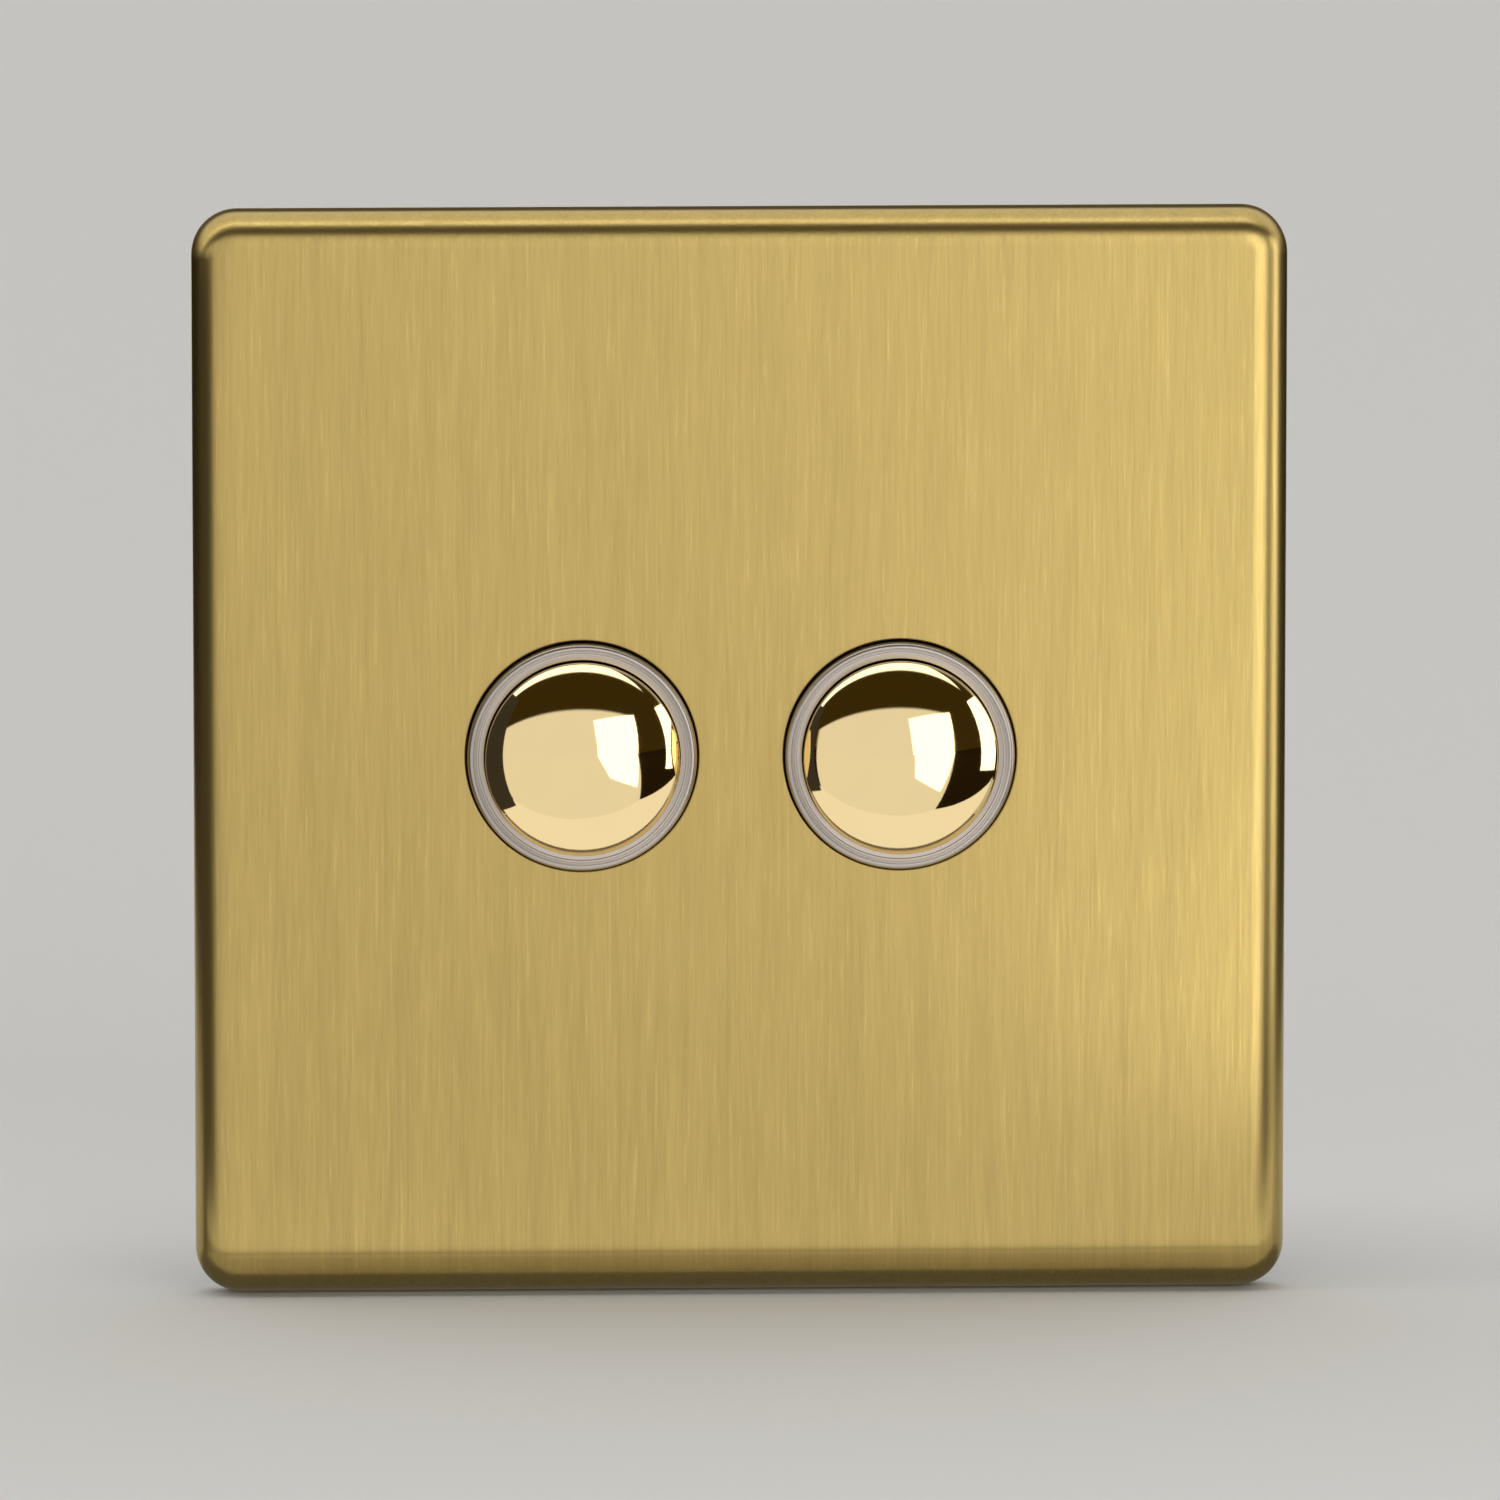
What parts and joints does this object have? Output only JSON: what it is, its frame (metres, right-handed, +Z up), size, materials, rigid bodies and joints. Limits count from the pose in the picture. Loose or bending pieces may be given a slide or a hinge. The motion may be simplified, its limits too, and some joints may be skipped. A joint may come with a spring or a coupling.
{
  "type": "intermediate light switch",
  "caption": "Square brushed brass wall switch with round domed push buttons in grey collars and four terminal reversing switch modules behind a screwless plate.",
  "frame": {"origin": "centre of the wall face, which is the rear face of the gasket", "axes": "+Y into the wall, +Z up, +X to the right when looking at the buttons from the room"},
  "size_m": [0.086, 0.0328, 0.086],
  "materials": {
    "plate_brass": "satin brushed brass, grain up and down",
    "cap_brass": "mirror polished brass",
    "collar_satin": "satin nickel grey",
    "nut_nickel": "nickel plated",
    "zinc_steel": "bright zinc plated sheet steel",
    "clip_black": "black glass filled nylon",
    "housing_white": "white moulded urea",
    "plunger_natural": "natural acetal",
    "spring_steel": "bright spring wire",
    "contact_copper": "rolled copper alloy",
    "terminal_brass": "turned brass",
    "screw_steel": "zinc plated steel",
    "gasket_rubber": "soft foam rubber"
  },
  "bodies": {
    "root": {"grid_plate": "zinc_steel", "wall_gasket": "gasket_rubber", "earth_terminal": "terminal_brass", "earth_screw": "screw_steel", "collar_left": "collar_satin", "ring_nut_left": "nut_nickel", "return_spring_left": "spring_steel", "bearing_plate_left": "plunger_natural", "terminal_screws_left": "screw_steel", "module_cover_left": "housing_white", "module_base_left": "housing_white", "fixed_contact_left_1": "contact_copper", "terminal_left_1": "terminal_brass", "fixed_contact_left_2": "contact_copper", "terminal_left_2": "terminal_brass", "fixed_contact_left_3": "contact_copper", "terminal_left_3": "terminal_brass", "fixed_contact_left_4": "contact_copper", "terminal_left_4": "terminal_brass", "collar_right": "collar_satin", "ring_nut_right": "nut_nickel", "return_spring_right": "spring_steel", "bearing_plate_right": "plunger_natural", "terminal_screws_right": "screw_steel", "module_cover_right": "housing_white", "module_base_right": "housing_white", "fixed_contact_right_1": "contact_copper", "terminal_right_1": "terminal_brass", "fixed_contact_right_2": "contact_copper", "terminal_right_2": "terminal_brass", "fixed_contact_right_3": "contact_copper", "terminal_right_3": "terminal_brass", "fixed_contact_right_4": "contact_copper", "terminal_right_4": "terminal_brass"},
    "fascia": {"front_plate": "plate_brass", "clip_frame": "clip_black"},
    "button_left": {"button_cap_left": "cap_brass", "plunger_left": "plunger_natural"},
    "driver_left": {"driver_left": "clip_black"},
    "rotor_left": {"rotor_left": "plunger_natural", "bridge_contact_left_upper": "contact_copper", "contact_spring_left_upper": "spring_steel", "bridge_contact_left_lower": "contact_copper", "contact_spring_left_lower": "spring_steel"},
    "button_right": {"button_cap_right": "cap_brass", "plunger_right": "plunger_natural"},
    "driver_right": {"driver_right": "clip_black"},
    "rotor_right": {"rotor_right": "plunger_natural", "bridge_contact_right_upper": "contact_copper", "contact_spring_right_upper": "spring_steel", "bridge_contact_right_lower": "contact_copper", "contact_spring_right_lower": "spring_steel"}
  },
  "joints": [
    {"name": "fascia_pull", "type": "slide", "parent": "root", "child": "fascia", "axis": [0, -1, 0], "range_m": [0, 0.02]},
    {"name": "button_press_left", "type": "slide", "parent": "root", "child": "button_left", "axis": [0, 1, 0], "range_m": [0, 0.003], "stiffness_N_per_m": 500, "springref_m": -0.003, "deforming": ["return_spring_left"]},
    {"name": "driver_turn_left", "type": "hinge", "parent": "root", "child": "driver_left", "pos_m": [-0.0125, 0.0123, 0], "axis": [0, 1, 0], "range_deg": [0, 90]},
    {"name": "rotor_step_left", "type": "hinge", "parent": "root", "child": "rotor_left", "pos_m": [-0.0125, 0.0165, 0], "axis": [0, 1, 0], "continuous": true},
    {"name": "button_press_right", "type": "slide", "parent": "root", "child": "button_right", "axis": [0, 1, 0], "range_m": [0, 0.003], "stiffness_N_per_m": 500, "springref_m": -0.003, "deforming": ["return_spring_right"]},
    {"name": "driver_turn_right", "type": "hinge", "parent": "root", "child": "driver_right", "pos_m": [0.0125, 0.0123, 0], "axis": [0, 1, 0], "range_deg": [0, 90]},
    {"name": "rotor_step_right", "type": "hinge", "parent": "root", "child": "rotor_right", "pos_m": [0.0125, 0.0165, 0], "axis": [0, 1, 0], "continuous": true}
  ],
  "couplings": [
    {"joint": "driver_turn_left", "follows": "button_press_left", "rad_per_m": 523.6},
    {"joint": "driver_turn_right", "follows": "button_press_right", "rad_per_m": 523.6}
  ]
}
